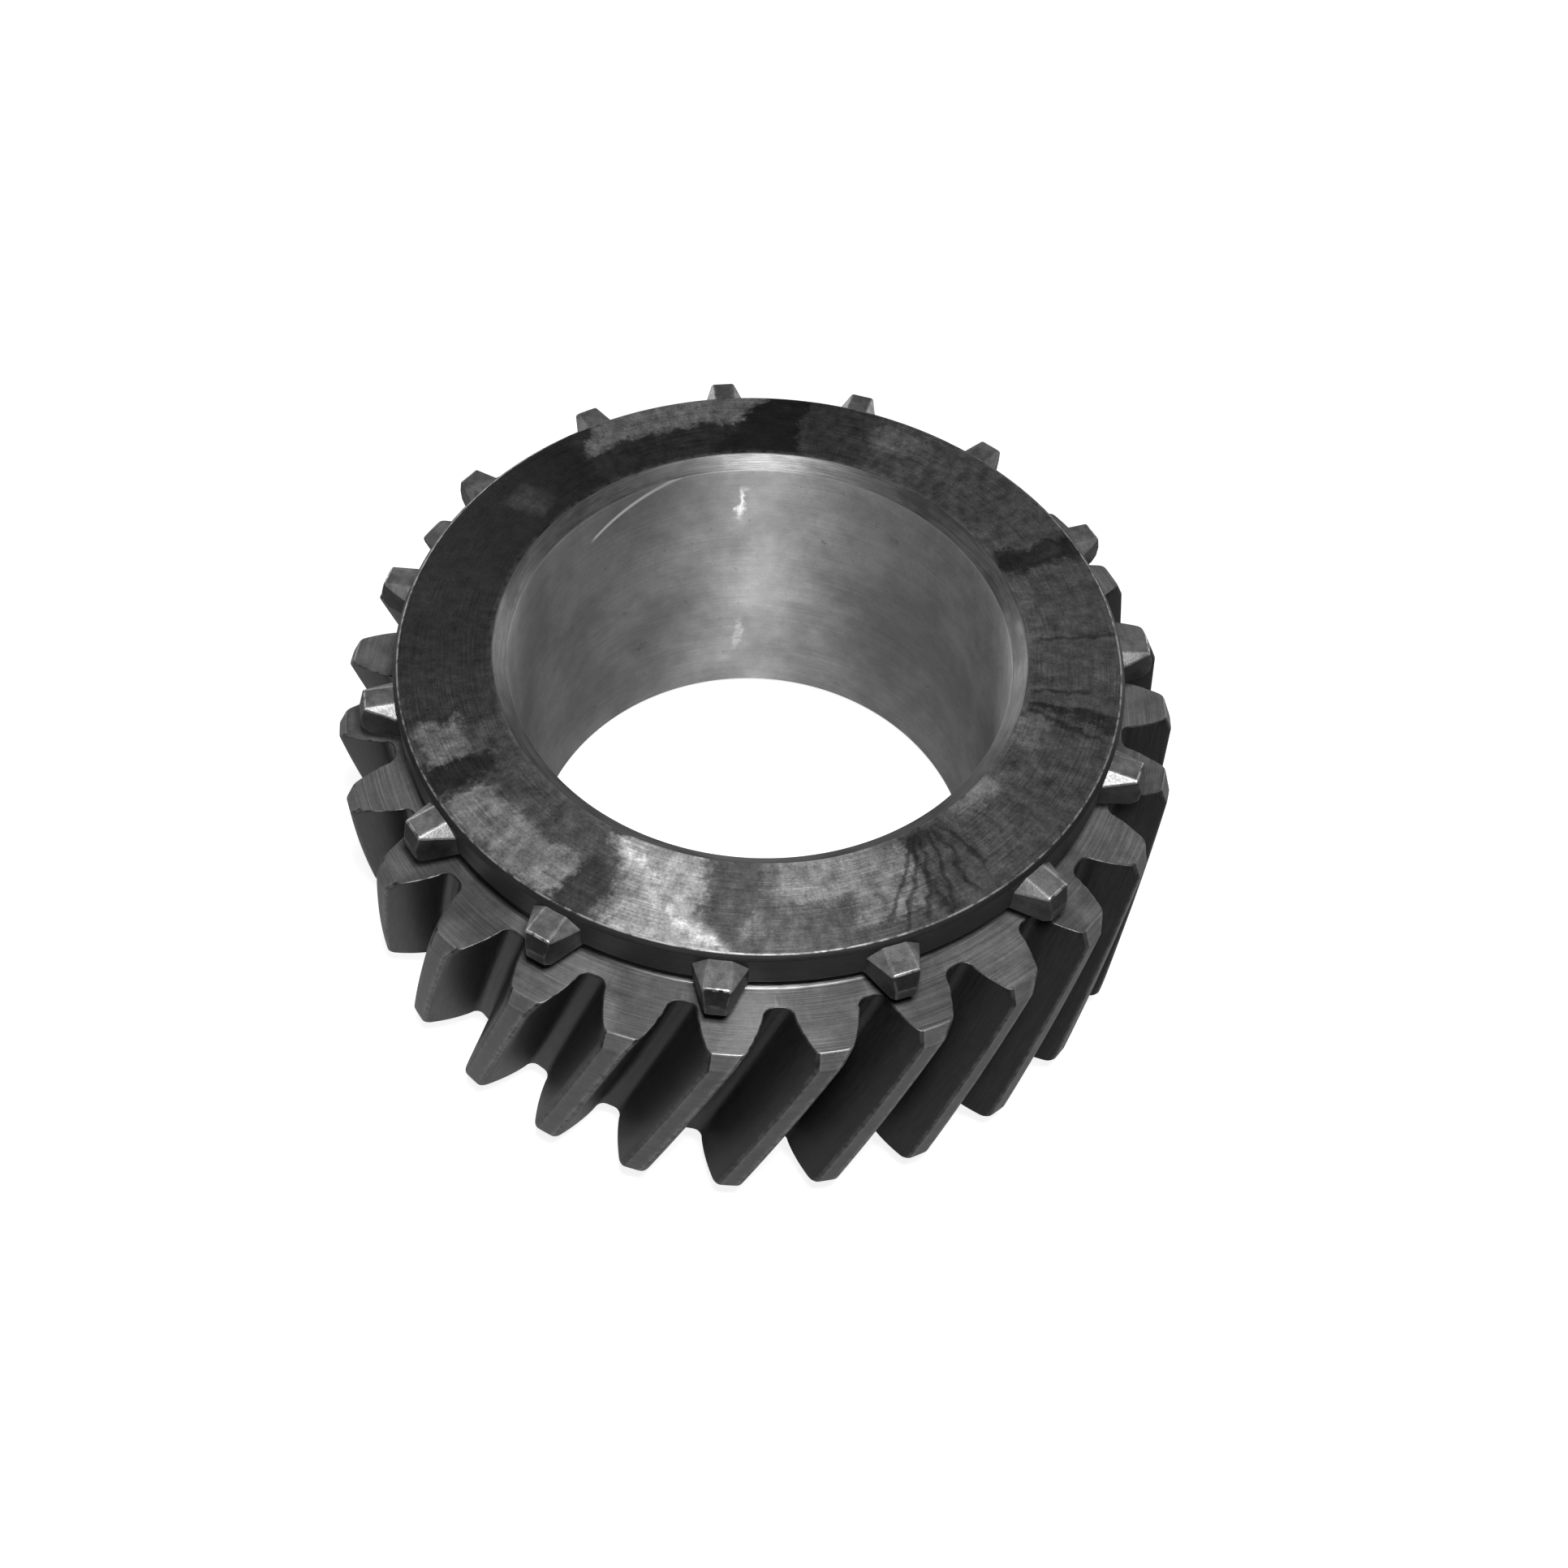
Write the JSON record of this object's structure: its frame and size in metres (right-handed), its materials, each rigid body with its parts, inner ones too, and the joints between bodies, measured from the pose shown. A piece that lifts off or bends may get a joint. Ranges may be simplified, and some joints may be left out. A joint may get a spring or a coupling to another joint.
{
  "type": "helical gear",
  "caption": "Right-hand helical gear with a plain ground bore and a dog-clutch ring of wedge-shaped teeth joined to its upper end.",
  "frame": {"origin": "centre of the bore at the lower thrust face, the face that the part stands on", "axes": "+Z along the bore axis, from the lower hub boss towards the clutch ring; X and Y across the bore"},
  "size_m": [0.135, 0.135, 0.062],
  "materials": {
    "gear_steel": "satin ground flanks, oily",
    "ring_steel": "turned, oil stained",
    "weld_metal": "dark weld bead"
  },
  "bodies": {
    "root": {"gear_wheel": "gear_steel", "clutch_ring": "ring_steel", "weld_seam": "weld_metal"}
  },
  "joints": []
}
